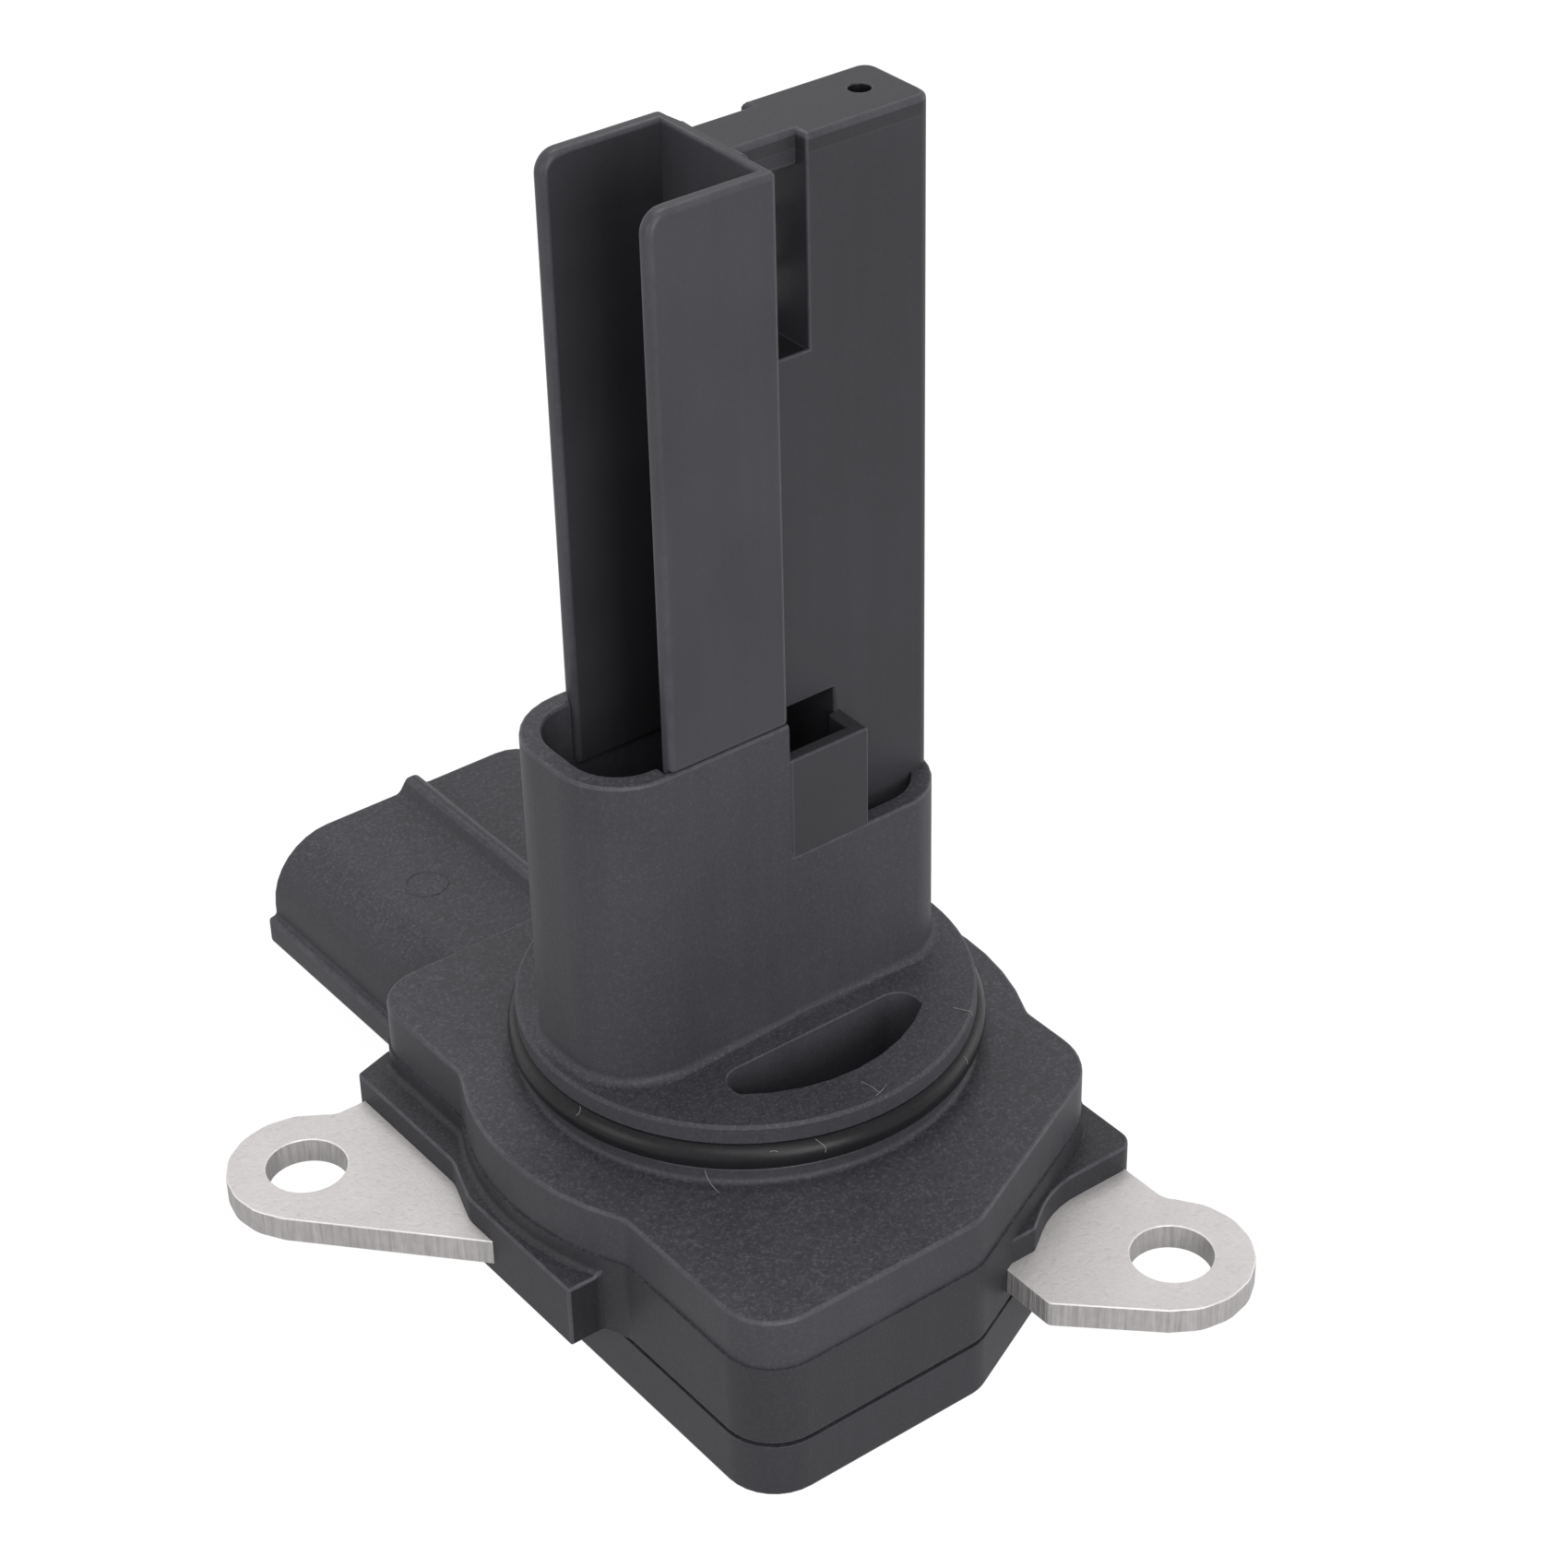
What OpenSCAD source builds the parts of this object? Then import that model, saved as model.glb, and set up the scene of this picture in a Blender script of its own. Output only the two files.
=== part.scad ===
// Plug-in mass airflow sensor, in millimetres.
// A round spigot with a ring seal closes a hole in the intake pipe, and the stem above it stands
// in the air stream. +Z runs along the stem, +Y points out of the connector, and the origin is on
// the spigot's axis, where its rim meets the seal groove.

/* [Spigot] */
// Radius of the sealing rim that fills the hole in the intake pipe
spigot_r = 14; // [12.5:0.25:16]
// Height of the rim above the seal groove
rim_h = 1.25; // [1:0.05:2.5]
// Height of the seal groove
groove_h = 1.95; // [1.8:0.05:2.6]
// Depth of the seal groove
groove_depth = 1.35; // [1:0.05:1.8]
// Height of the spigot's foot below the groove
foot_h = 1; // [0.6:0.1:3]
// Radius of the ring seal's section
seal_r = 0.95; // [0.8:0.05:1]
// Bevel on the rim's upper edge
rim_bevel = 0.2; // [0.1:0.05:0.4]

/* [Base] */
// From the spigot's axis to the left wall
base_left = 16; // [15:0.25:17]
// From the axis to the right wall
base_right = 15; // [14:0.25:16.5]
// From the axis to the front wall
base_front = 22.3; // [20:0.25:28]
// From the axis to the rear wall
base_rear = 18.6; // [18:0.25:24]
// Radius of the round swell that carries the spigot
swell_r = 17.65; // [17:0.25:19]
// Radius of the base's upright corners
corner_r = 3.4; // [2.6:0.1:5]
// How far the front right corner is cut back along the front wall
corner_cut = 15; // [12:0.5:18]
// How far the front right corner is cut back along the right wall
corner_cut_side = 7; // [5:0.2:8]
// Height of the housing below the spigot
body_h = 9; // [8.5:0.25:14]
// Height of the bottom cover
cover_h = 4.15; // [3.5:0.05:7]
// Wall of the housing
wall = 1.8; // [1.4:0.1:2.2]
// Roof over the electronics pocket
roof_t = 2.2; // [1.8:0.1:3]
// Floor of the bottom cover
cover_t = 1.6; // [1.2:0.1:2.4]

/* [Collar] */
// From the collar's ends to the edge of the spigot's rim
collar_inset = 1.1; // [1:0.05:2.2]
// Width of the collar
collar_w = 11.1; // [10.5:0.1:12.5]
// Distance from the spigot's axis to the collar's front face
collar_front = 4.8; // [4.4:0.1:5.6]
// Radius of the collar's corners
collar_r = 4.4; // [3:0.1:5]
// Wall of the collar
collar_wall = 1.3; // [1:0.1:1.5]
// Height of the collar's left half above the rim
collar_high = 20.8; // [17:0.2:26]
// Height of the collar's right half above the rim
collar_low = 11.5; // [9.5:0.2:14]

/* [Stem] */
// Height of the stem above the rim
stem_h = 54.65; // [48:0.5:70]
// Depth of the open channel, from its web to its free edges
channel_l = 8.2; // [7:0.1:10]
// Wall of the channel
channel_wall = 1.05; // [0.8:0.05:1.2]
// Web that closes the channel
web_t = 0.6; // [0.5:0.05:0.8]
// How far the channel's rear face is set in from the collar's
channel_inset = 0.6; // [0.4:0.1:1]
// Length of the block behind the web
block_l = 12.6; // [12:0.1:12.8]
// Thickness of the block
block_w = 5.65; // [5.2:0.05:6.2]
// How far the block's front face is set in from the channel's
block_inset = 2.75; // [2.5:0.05:3]
// Width of the slot near the tip
slot_w = 3.7; // [3.2:0.1:4.2]
// Height of the slot near the tip
slot_h = 10.4; // [8:0.2:14]
// Height of the bridge above the slot
bridge_h = 2.15; // [1.6:0.05:3]
// Width of the air outlet's hood
hood_l = 5.8; // [5.4:0.1:6.4]
// Height of the hood above the collar's low rim
hood_h = 6.7; // [5:0.1:8]
// Wall of the hood
hood_wall = 0.9; // [0.7:0.05:1.1]
// Height of the outlet window above the collar's low rim
window_h = 8.3; // [7:0.1:10]

/* [Connector] */
// Width of the connector shroud
shroud_w = 22.8; // [21:0.2:25]
// Height of the connector shroud
shroud_h = 11; // [10:0.2:12]
// Length of the shroud behind the base
shroud_l = 19.7; // [16:0.1:24]
// Radius of the shroud's edges
shroud_r = 4.6; // [3.5:0.1:5]
// Wall of the shroud
shroud_wall = 1.5; // [1.2:0.1:1.8]
// Depth of the socket
socket_depth = 14.6; // [12:0.1:15.5]
// Distance between neighbouring terminals
pitch = 3.2; // [2.8:0.1:3.4]
// Width of a terminal blade
blade_w = 1.5; // [1:0.1:1.8]
// Thickness of a terminal blade
blade_t = 0.8; // [0.6:0.05:1]

/* [Tabs] */
// Thickness of the metal tabs
tab_t = 1.75; // [1.4:0.05:2]
// Radius of the screw holes
hole_r = 2.5; // [2.1:0.05:2.8]
// Radius of the tabs' round ends
tab_end_r = 5; // [4.4:0.1:5.5]
// Distance of the left hole from the axis, along X
left_hole_x = 24; // [23:0.25:27]
// Distance of the left hole from the axis, along Y
left_hole_y = 13.35; // [12:0.25:14.5]
// Distance of the right hole from the axis, along X
right_hole_x = 11.8; // [11:0.1:12.4]
// Distance of the right hole from the axis, along Y
right_hole_y = 25.75; // [25:0.25:29]

/* [Circuit board] */
// From the board's edges to the side and rear walls around it
board_gap = 1.2; // [1:0.1:2.5]
// From the board's front edge to the front wall
board_front_gap = 5.5; // [4.5:0.25:7]
// Thickness of the board
board_t = 1; // [0.8:0.1:1.2]

/* [Hidden] */
$fn = 72;
// Straight pieces in each quarter or smaller arc of an outline
arc_steps = 8;
// How far a cut runs past the face that it opens
overrun = 1;
// Clearance between pieces that are pushed into each other
fit = 0.05;

// Heights of the base, all taken from the seal groove
platform_z = -groove_h - foot_h;
roof_z = platform_z - roof_t;
split_z = platform_z - body_h;
bottom_z = split_z - cover_h;
tab_rise = 2.5;
tab_z = split_z + tab_rise;
tab_drop = 1.75;
lug_z = tab_z + tab_drop;
lug_drop = 1.35;
parting_z = lug_z + lug_drop;
draft_step = 0.15;
floor_t = 2.65;
passage_z = roof_z + floor_t;
groove_r = spigot_r - groove_depth;
foot_inset = 0.12;
foot_r = spigot_r - foot_inset;

// Outline of the base
swell = [-0.6, -0.7];
blend_r = 1.2;
knuckle_r = 3;
side_knuckle_r = 4.4;
least_r = 0.4;
cut_angle = atan2(corner_cut_side, corner_cut);

// Collar and the stem's seats in it
collar_l = 2 * (spigot_r - collar_inset);
collar_back = collar_w - collar_front;
rim_high = rim_h + collar_high;
rim_low = rim_h + collar_low;
collar_step_x = 0.1;
face_step = 0.12;
tongue_share = 0.45;
tongue_l = 4;
web_drop = 4.8;
web_foot_z = rim_low - web_drop;
channel_r = 1.3;
stem_z = rim_h + stem_h;
web_x = collar_step_x - web_t;
channel_back = collar_back - channel_inset;
block_front = collar_front - block_inset;
block_x = collar_step_x + block_l;
block_r = 0.9;
block_foot_x = collar_l / 2 - collar_wall - fit;

// Bypass passage, outlet and slot in the stem
slot_skin = 0.3;
slot_x = collar_step_x + slot_skin;
slot_end_x = slot_x + slot_w;
slot_top_z = stem_z - bridge_h;
slot_z = slot_top_z - slot_h;
bridge_front = 1.1;
bridge_back = 2.9;
block_back = block_w - block_front;
bypass_skin = 0.8;
bypass_rear_wall = 1.15;
bypass_back = block_back - bypass_rear_wall;
hood_x = collar_step_x + hood_l;
window_x = hood_x - hood_wall / 2;
hood_z = rim_low + hood_h;
window_z = rim_low + window_h;
bypass_mouth_z = web_foot_z - hood_wall;

// Lead chamber in the block's rear face, and the plate that closes it
chamber_wall = 0.6;
chamber_x = hood_x + hood_wall;
chamber_end_x = block_foot_x - chamber_wall;
chamber_depth = 2.9;
chamber_roof = 1.4;
chamber_top_z = slot_top_z - chamber_roof;
chamber_window_rise = 1.35;
plate_t = 1;
plate_lap = 0.7;
plate_z = rim_low + plate_lap;
tip_hole_r = 0.65;
tip_hole_depth = 1.4;
tip_hole_inset = 2.6;
tip_hole_y = 1;

// Recess in the spigot's top
recess_edge = 6.45;
recess_r = 10.9;
recess_half = 6.9;
recess_corner_r = 1.3;
recess_depth = 4.9;

// Lugs that hold the metal tabs
lug_out_front = 3;
lug_out_back = 1.85;
lug_bend_y = 2.8;
lug_bend_l = 3.4;
lug_bend_r = 2.4;
lug_front_y = 7.75;
lug_back_y = 17;
lug_end_rise = 0.8;
lug_end_inset = 0.8;
right_lug_out = 0.6;
right_lug_front = 18.3;
right_lug_back = 13.3;
right_lug_r = 1.2;
ramp_x = 8.8;
ramp_end_x = 5.65;
ramp_drop = 2.2;
ramp_r = 6.5;
ramp_end_r = 0.5;

// Metal tabs
tab_bite = 0.9;
tab_blend_r = 1.5;
tab_tip_r = 0.6;
left_edge_rise = 3.15;
left_tip = [5.1, 13.15];
right_edge_rise = 3.05;
right_tip = [1.25, 8.5];

// Shroud and terminals
shroud_rise = 1.7;
shroud_z = split_z + shroud_rise;
shroud_top_z = shroud_z + shroud_h / 2;
mouth_y = base_rear + shroud_l;
socket_y = mouth_y - socket_depth;
rib_w = 2.2;
rib_top_w = 0.8;
rib_h = 1;
rib_x = 0;
side_rib_w = 2;
side_rib_h = 0.6;
side_rib_drop = 1;
side_rib_z = shroud_z - side_rib_drop;
seam = 0.15;
blade_recess = 5.5;
blade_y = mouth_y - blade_recess;
leg_gap = 4.6;
leg_y = base_rear - wall - leg_gap;
terminals = 5;

// Bottom cover and its seal
lip_t = 0.9;
lip_h = 1.1;
seal_w = 0.8;
seal_h = 0.6;
seam_h = 0.3;
seam_depth = 0.4;

// Circuit board and what stands on it
post_r = 1.2;
post_inset = 2.1;
board_inset = wall + board_gap;
board_rise = 3.6;
board_z = split_z + board_rise;
board_front_y = wall + board_front_gap - base_front;
chip_size = [8, 9, 1.5];
chip_at = [-1, -7];
capacitor = [2, 1.25, 1.2];
capacitor_at = [[7, -10], [7, -7], [7, -4], [-9, -10]];
resistor = [1.6, 0.8, 0.5];
resistor_at = [[-9, -6], [-9, -4], [-9, -2], [5.4, 0], [5.4, 2]];

// Sensing elements in the bypass passage
lead_r = 0.3;
lead_over = 0.6;
holder_window = [4.2, 4.4];
holder_at = [-4.1, 0.75];
holder_flange = 0.8;
holder_h = 1;
lead_gap = 2.6;
element_gap = 2.6;
heater_x = holder_at.x + element_gap / 2;
flow_temperature_x = holder_at.x - element_gap / 2;
element_rise = 5.5;
element_z = passage_z + element_rise;
element_r = 0.6;
strip = [0.6, 0.4];
strip_setback = 0.9;
strip_y = block_back - plate_t - strip_setback;
strip_inset = 1;
strip_x = chamber_x + strip_inset;
bead_r = 0.9;
bead_x_share = 0.55;
bead_z_share = 0.5;
bead_x = slot_x + slot_w * bead_x_share;
bead_z = slot_z + slot_h * bead_z_share;
bead_h = 2.6;

// Points along an arc
function arc(c, r, from, to) =
    [for (i = [0 : arc_steps]) let (a = from + (to - from) * i / arc_steps)
        [c.x + r * cos(a), c.y + r * sin(a)]];

// Round corner at a point between its two neighbours
function unit(v) = v / norm(v);
function corner(before, at, after, r) =
    let (u = unit(before - at), v = unit(after - at),
        half = acos(u * v) / 2,
        c = at + unit(u + v) * r / sin(half),
        s = at + u * r / tan(half) - c,
        e = at + v * r / tan(half) - c,
        from = atan2(s.y, s.x),
        turn = atan2(s.x * e.y - s.y * e.x, s * e))
    arc(c, r, from, from + turn);

// Outline with a radius at each corner, where zero keeps the corner sharp
function rounded(points, radii) =
    [for (i = [0 : len(points) - 1])
        let (n = len(points), at = points[i],
            before = points[(i + n - 1) % n], after = points[(i + 1) % n])
        each radii[i] > 0 ? corner(before, at, after, radii[i]) : [at]];

// Rectangle between two corners, rounded with one radius
function rounded_box(low, high, r) =
    rounded([low, [high.x, low.y], high, [low.x, high.y]], [r, r, r, r]);

// The swell beside an upright wall at x = w, with a hollow blend at each end
function swell_side(w, c, r, f) =
    let (dx = w + f - c.x, dy = sqrt((r + f) * (r + f) - dx * dx), turn = atan2(dy, dx))
    concat(arc([w + f, c.y - dy], f, 180, 180 - turn), arc(c, r, -turn, turn),
        arc([w + f, c.y + dy], f, 180 + turn, 180));

// The same points on the other side of the YZ plane, in the opposite order
function mirrored(points) =
    [for (i = [len(points) - 1 : -1 : 0]) [-points[i].x, points[i].y]];

// Outline of the base, moved outwards by grow, with or without the swell
function base_path(grow, swollen) =
    let (left = -base_left - grow, right = base_right + grow,
        front = -base_front - grow, back = base_rear + grow,
        a = [left, front],
        b = [base_right - corner_cut + grow * tan(cut_angle / 2), front],
        c = [right, corner_cut_side - base_front - grow * tan(45 - cut_angle / 2)],
        d = [right, back],
        e = [left, back],
        r = max(corner_r + grow, least_r))
    concat(corner(e, a, b, r), corner(a, b, c, knuckle_r), corner(b, c, d, side_knuckle_r),
        swollen ? swell_side(right, swell, swell_r + grow, blend_r - grow) : [],
        corner(c, d, e, r), corner(d, e, a, r),
        swollen ? mirrored(swell_side(-left, [-swell.x, swell.y], swell_r + grow, blend_r - grow)) : []);

// Outline of a tab: a round end, one edge blended into it and one edge tangent to it
function tab_path(c, rise, tip, root) =
    let (f = tab_blend_r, r = tab_end_r,
        dx = sqrt((r + f) * (r + f) - (rise + f) * (rise + f)), turn = atan2(rise + f, dx),
        away = 360 + atan2(-tip.y, tip.x) - acos(r / norm(tip)),
        at = [c.x + tip.x, c.y - tip.y], foot = [root, c.y - tip.y])
    concat([[root, c.y + rise]], arc([c.x + dx, c.y + rise + f], f, 270, 180 + turn),
        arc(c, r, turn, away), corner(c + r * [cos(away), sin(away)], at, foot, tab_tip_r), [foot]);

// Ring between two outlines of the base
module base_ring(outer, inner, low, high) {
    difference() {
        translate([0, 0, low]) linear_extrude(high - low) polygon(base_path(outer, false));
        translate([0, 0, low - overrun]) linear_extrude(high - low + 2 * overrun)
            polygon(base_path(inner, false));
    }
}

// Block between two corners
module block(low, high) {
    translate(low) cube(high - low);
}

// Upright prism between two heights
module prism(points, low, high) {
    translate([0, 0, low]) linear_extrude(high - low) polygon(points);
}

// Prism along Y, its outline drawn in X and Z
module prism_y(points, from, to) {
    translate([0, to, 0]) rotate([90, 0, 0]) linear_extrude(to - from) polygon(points);
}

// Outline of the collar, moved inwards by inset
function collar_path(inset) =
    rounded_box([-collar_l / 2 + inset, inset - collar_front],
        [collar_l / 2 - inset, collar_back - inset], max(collar_r - inset, least_r));

function left_lug_path() =
    rounded([[-base_left - lug_out_front, -lug_front_y], [-base_left + wall, -lug_front_y],
        [-base_left + wall, lug_back_y + lug_end_rise],
        [lug_end_inset - base_left, lug_back_y + lug_end_rise], [-base_left - lug_out_back, lug_back_y],
        [-base_left - lug_out_back, lug_bend_y + lug_bend_l], [-base_left - lug_out_front, lug_bend_y]],
        [0, 0, 0, 0, 0, lug_bend_r, lug_bend_r]);

function right_lug_path() =
    rounded([[base_right - wall, -right_lug_back], [ramp_end_x - wall, -right_lug_front],
        [ramp_end_x - wall, -right_lug_front - ramp_drop], [ramp_end_x, -right_lug_front - ramp_drop],
        [ramp_x, -right_lug_front], [base_right + right_lug_out, -right_lug_front],
        [base_right + right_lug_out, -right_lug_back]], [0, 0, 0, ramp_end_r, ramp_r, right_lug_r, 0]);

// Points of the two tabs: the right one is the left one's form with X and Y exchanged
function left_tab_path() = tab_path([-left_hole_x, left_hole_y], left_edge_rise, left_tip, 0);
function right_tab_path() =
    let (p = tab_path([-right_hole_y, right_hole_x], right_edge_rise, right_tip, 0))
    [for (i = [len(p) - 1 : -1 : 0]) [p[i].y, p[i].x]];

module tab_solid(points) {
    difference() {
        prism(points, tab_z - tab_t, tab_z);
        prism(base_path(-tab_bite, true), tab_z - tab_t - overrun, tab_z + overrun);
    }
}

module spigot_body() {
    rotate_extrude() polygon([[0, roof_z], [foot_r, roof_z], [foot_r, -groove_h], [groove_r, -groove_h],
        [groove_r, 0], [spigot_r, 0], [spigot_r, rim_h - rim_bevel], [spigot_r - rim_bevel, rim_h],
        [0, rim_h]]);
}

module collar_body() {
    difference() {
        prism(collar_path(0), 0, rim_high);
        block([collar_step_x, -collar_l, rim_low], [collar_l, collar_l, rim_high + overrun]);
        block([collar_step_x, -collar_l, rim_h], [collar_l, face_step - collar_front, rim_high]);
    }
}

// Rebates in the collar's walls for the tongues of the channel and of the hood
module collar_rebates() {
    t = (1 - tongue_share) * channel_wall - fit;
    block([collar_step_x - channel_l - fit, t - collar_front, rim_high - tongue_l],
        [collar_step_x + overrun, channel_back - t, rim_high + overrun]);
    hood_t = (1 - tongue_share) * hood_wall - fit;
    block([collar_step_x, face_step - collar_front + hood_t, rim_low - tongue_l],
        [hood_x + fit, 0, rim_low + overrun]);
}

module spigot_recess() {
    side = asin(recess_half / recess_r);
    low = -sqrt(recess_r * recess_r - recess_half * recess_half);
    a = [recess_half, low];
    b = [recess_half, -recess_edge];
    c = [-recess_half, -recess_edge];
    d = [-recess_half, low];
    prism(concat(arc([0, 0], recess_r, 270 - side, 270 + side), corner(a, b, c, recess_corner_r),
        corner(b, c, d, recess_corner_r)), rim_h - recess_depth, rim_h + overrun);
}

function shroud_path(inset) =
    rounded_box([-shroud_w / 2 + inset, shroud_z - shroud_h / 2 + inset],
        [shroud_w / 2 - inset, shroud_z + shroud_h / 2 - inset], shroud_r - inset);

module shroud_body() {
    prism_y(shroud_path(0), base_rear + seam, mouth_y);
    block([-shroud_w / 2 + shroud_r, base_rear - wall, split_z],
        [shroud_w / 2 - shroud_r, base_rear + seam, shroud_top_z]);
    prism_y([[rib_x - rib_w / 2, shroud_top_z - rib_h], [rib_x + rib_w / 2, shroud_top_z - rib_h],
        [rib_x + rib_w / 2, shroud_top_z], [rib_x + rib_top_w / 2, shroud_top_z + rib_h],
        [rib_x - rib_top_w / 2, shroud_top_z + rib_h], [rib_x - rib_w / 2, shroud_top_z]],
        base_rear - wall, mouth_y);
    for (side = [-1, 1])
        block([side * shroud_w / 2 - side_rib_h, base_rear + seam, side_rib_z - side_rib_w / 2],
            [side * shroud_w / 2 + side_rib_h, mouth_y, side_rib_z + side_rib_w / 2]);
}

// Upright leads or legs at a list of places
module leads(places, low, high) {
    for (p = places) translate([p.x, p.y, low]) cylinder(r = lead_r, h = high - low);
}

function pair_places(x) = [for (s = [-1, 1]) [x, holder_at.y + s * lead_gap / 2]];
function strip_places() = [[strip_x, strip_y], [chamber_end_x - strip_inset, strip_y]];

module strip_holes(gap, low, high) {
    for (p = strip_places())
        block([p.x - strip.x / 2 - gap, p.y - strip.y / 2 - gap, low],
            [p.x + strip.x / 2 + gap, p.y + strip.y / 2 + gap, high]);
}

function terminal_x(i) = (i - (terminals + 1) / 2) * pitch;

module terminal(i) {
    x = terminal_x(i);
    color([0.78, 0.76, 0.7]) {
        block([x - blade_w / 2, leg_y - blade_t / 2, shroud_z - blade_t / 2],
            [x + blade_w / 2, blade_y, shroud_z + blade_t / 2]);
        block([x - blade_t / 2, leg_y - blade_t / 2, shroud_z],
            [x + blade_t / 2, leg_y + blade_t / 2, board_z + board_t + lead_over]);
    }
}

module posts(low, high) {
    side = board_inset + post_inset;
    for (x = [side - base_left, base_right - side], y = [board_front_y + post_inset, base_rear - side])
        translate([x, y, low]) cylinder(r = post_r, h = high - low);
}

module housing() {
    color([0.17, 0.17, 0.19]) difference() {
        union() {
            prism(base_path(-draft_step, true), parting_z, platform_z);
            prism(base_path(0, true), split_z, parting_z);
            prism(left_lug_path(), split_z, lug_z);
            prism(right_lug_path(), split_z, lug_z);
            spigot_body();
            collar_body();
            shroud_body();
        }
        difference() {
            prism(base_path(-wall, false), split_z - overrun, roof_z);
            posts(board_z + board_t, roof_z + overrun);
        }
        prism(collar_path(collar_wall), passage_z, rim_high + overrun);
        collar_rebates();
        spigot_recess();
        prism_y(shroud_path(shroud_wall), socket_y, mouth_y + overrun);
        for (i = [1 : terminals]) terminal(i);
        prism(left_tab_path(), tab_z - tab_t, tab_z);
        prism(right_tab_path(), tab_z - tab_t, tab_z);
        block([holder_at.x - holder_window.x / 2, holder_at.y - holder_window.y / 2, roof_z - overrun],
            [holder_at.x + holder_window.x / 2, holder_at.y + holder_window.y / 2, passage_z + overrun]);
        strip_holes(fit, roof_z - overrun, passage_z + overrun);
    }
}

// Side wall of the channel, its free top corner rounded, between two places along Y
module channel_wall_body(from, to) {
    free_x = collar_step_x - channel_l;
    prism_y(concat([[collar_step_x, rim_high], [collar_step_x, stem_z]],
        corner([collar_step_x, stem_z], [free_x, stem_z], [free_x, rim_high], channel_r),
        [[free_x, rim_high]]), from, to);
}

// Channel above the collar's high rim
module channel_walls() {
    channel_wall_body(-collar_front, channel_wall - collar_front);
    channel_wall_body(channel_back - channel_wall, channel_back);
    block([web_x, -collar_front, rim_high], [collar_step_x, channel_back, stem_z]);
}

// Tongues below the channel and the hood, which stand in the collar's rebates
module tongues() {
    low_x = collar_step_x - channel_l;
    front = (1 - tongue_share) * channel_wall - collar_front;
    back = channel_back - (1 - tongue_share) * channel_wall;
    hood_front = face_step - collar_front + (1 - tongue_share) * hood_wall;
    block([low_x, front, rim_high - tongue_l], [collar_step_x, channel_wall - collar_front, rim_high]);
    block([low_x, channel_back - channel_wall, rim_high - tongue_l], [collar_step_x, back, rim_high]);
    block([web_x, front, rim_high - tongue_l], [collar_step_x, back, rim_high]);
    block([web_x, collar_wall + fit - collar_front, web_foot_z],
        [collar_step_x, collar_back - collar_wall - fit, rim_high - tongue_l]);
    block([collar_step_x, hood_front, rim_low - tongue_l],
        [hood_x, face_step - collar_front + hood_wall, rim_low]);
}

module hood() {
    outside = face_step - collar_front;
    block([collar_step_x, outside, rim_low], [hood_x, outside + hood_wall, hood_z]);
    block([hood_x - hood_wall, outside, rim_low], [hood_x, -block_front, hood_z]);
    block([hood_x - hood_wall, collar_wall + fit - collar_front, rim_low - tongue_l],
        [hood_x, -block_front, rim_low]);
}

// The block stands on the passage floor and overhangs the collar's right wall
module stem_block() {
    prism(rounded([[collar_step_x, -block_front], [block_x, -block_front], [block_x, block_back],
        [collar_step_x, block_back]], [0, block_r, block_r, 0]), rim_low, stem_z);
    intersection() {
        block([collar_step_x, -block_front, passage_z], [block_foot_x, block_back, rim_low]);
        prism(collar_path(collar_wall + fit), passage_z, rim_low);
    }
}

module bypass() {
    block([slot_x + bypass_skin, -block_front - overrun, rim_low - tongue_l / 2],
        [window_x, bypass_back, window_z]);
    block([slot_x + bypass_skin, hood_wall - block_front, passage_z - overrun],
        [window_x, bypass_back, window_z]);
    block([web_x - overrun, hood_wall - block_front, passage_z - overrun],
        [window_x, bypass_back, bypass_mouth_z]);
}

module stem_slot() {
    block([slot_x, -block_w, slot_z], [slot_end_x, block_w, slot_top_z]);
    block([slot_x, -block_w, slot_z], [slot_end_x, -bridge_front, stem_z + overrun]);
    block([slot_x, bridge_back, slot_z], [slot_end_x, block_w, stem_z + overrun]);
}

module lead_chamber() {
    block([chamber_x, block_back - chamber_depth, passage_z - overrun],
        [chamber_end_x, block_w, chamber_top_z]);
    block([chamber_x - plate_lap, block_back - plate_t, plate_z],
        [chamber_end_x + plate_lap, block_w, chamber_top_z + plate_lap]);
    block([slot_end_x - overrun, strip_y - strip.x, slot_z + chamber_window_rise],
        [chamber_x + overrun, strip_y + strip.x, slot_top_z]);
}

module air_duct() {
    color([0.2, 0.2, 0.22]) {
        channel_walls();
        tongues();
        hood();
        difference() {
            stem_block();
            bypass();
            stem_slot();
            lead_chamber();
            translate([block_x - tip_hole_inset, tip_hole_y, stem_z - tip_hole_depth])
                cylinder(r = tip_hole_r, h = tip_hole_depth + overrun, $fn = 24);
        }
    }
}

module duct_rear_cover() {
    color([0.15, 0.15, 0.17])
        block([chamber_x - plate_lap + fit, block_back - plate_t, plate_z + fit],
            [chamber_end_x + plate_lap - fit, block_back, chamber_top_z + plate_lap - fit]);
}

module bottom_cover() {
    color([0.14, 0.14, 0.16]) difference() {
        union() {
            prism(base_path(0, false), bottom_z, split_z);
            prism(base_path(-wall - fit, false), split_z - overrun, split_z + lip_h);
        }
        prism(base_path(-wall - lip_t, false), bottom_z + cover_t, split_z + lip_h + overrun);
        base_ring(overrun, -seam_depth, split_z - seam_h, split_z + overrun);
        base_ring(seal_w - wall, -wall, split_z - seal_h, split_z);
    }
}

module cover_seal() {
    color([0.3, 0.3, 0.32]) base_ring(seal_w - wall - fit, fit - wall, split_z - seal_h, split_z);
}

module spigot_seal() {
    color([0.1, 0.1, 0.11]) rotate_extrude() translate([groove_r + seal_r, -groove_h / 2]) circle(r = seal_r);
}

module screw_hole(x, y) {
    translate([x, y, tab_z - tab_t - overrun]) cylinder(r = hole_r, h = tab_t + 2 * overrun);
}

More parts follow.
